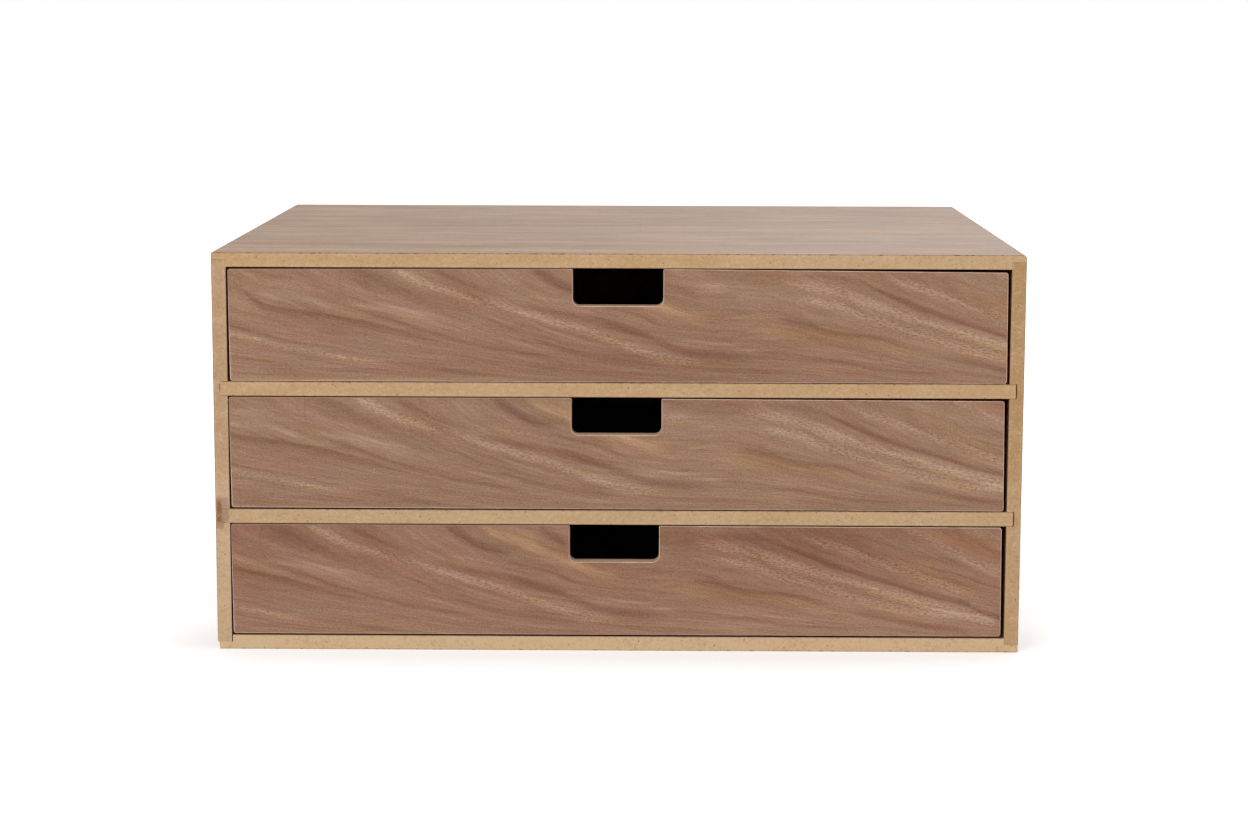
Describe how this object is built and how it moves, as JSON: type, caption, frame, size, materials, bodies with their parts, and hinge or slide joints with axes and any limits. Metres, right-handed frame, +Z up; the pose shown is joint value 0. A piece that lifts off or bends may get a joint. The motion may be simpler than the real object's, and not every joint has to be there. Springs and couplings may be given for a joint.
{
  "type": "desktop drawer unit",
  "caption": "Low desktop drawer unit of wood-veneered fibreboard with bare board edges; each full-width drawer slides on a shelf and has a finger notch in its top edge.",
  "frame": {"origin": "centre of the underside, on the surface that the unit stands on", "axes": "+Z up, -Y out of the front, where the drawers open, +X to the right as seen from the front"},
  "size_m": [0.36, 0.3, 0.179],
  "materials": {
    "case_board": "oiled brown veneer on the faces, bare fibreboard on the edges, matt",
    "front_board": "brown figured veneer, oiled, soft sheen, eased edges",
    "box_board": "bare fibreboard, smooth and matt",
    "floor_board": "bare fibreboard, smooth and matt",
    "back_board": "bare fibreboard, smooth and matt",
    "steel": "bright wire"
  },
  "bodies": {
    "case": {"top_panel": "case_board", "bottom_panel": "case_board", "left_side_panel": "case_board", "right_side_panel": "case_board", "lower_shelf": "case_board", "upper_shelf": "case_board", "back_panel": "back_board", "back_panel_pins": "steel"},
    "lower_drawer": {"lower_drawer_front": "front_board", "lower_drawer_left_side": "box_board", "lower_drawer_right_side": "box_board", "lower_drawer_back": "box_board", "lower_drawer_floor": "floor_board", "lower_drawer_brads": "steel"},
    "middle_drawer": {"middle_drawer_front": "front_board", "middle_drawer_left_side": "box_board", "middle_drawer_right_side": "box_board", "middle_drawer_back": "box_board", "middle_drawer_floor": "floor_board", "middle_drawer_brads": "steel"},
    "upper_drawer": {"upper_drawer_front": "front_board", "upper_drawer_left_side": "box_board", "upper_drawer_right_side": "box_board", "upper_drawer_back": "box_board", "upper_drawer_floor": "floor_board", "upper_drawer_brads": "steel"}
  },
  "joints": [
    {"name": "lower_drawer_slide", "type": "slide", "parent": "case", "child": "lower_drawer", "axis": [0, -1, 0], "range_m": [0, 0.22]},
    {"name": "middle_drawer_slide", "type": "slide", "parent": "case", "child": "middle_drawer", "axis": [0, -1, 0], "range_m": [0, 0.22]},
    {"name": "upper_drawer_slide", "type": "slide", "parent": "case", "child": "upper_drawer", "axis": [0, -1, 0], "range_m": [0, 0.22]}
  ]
}
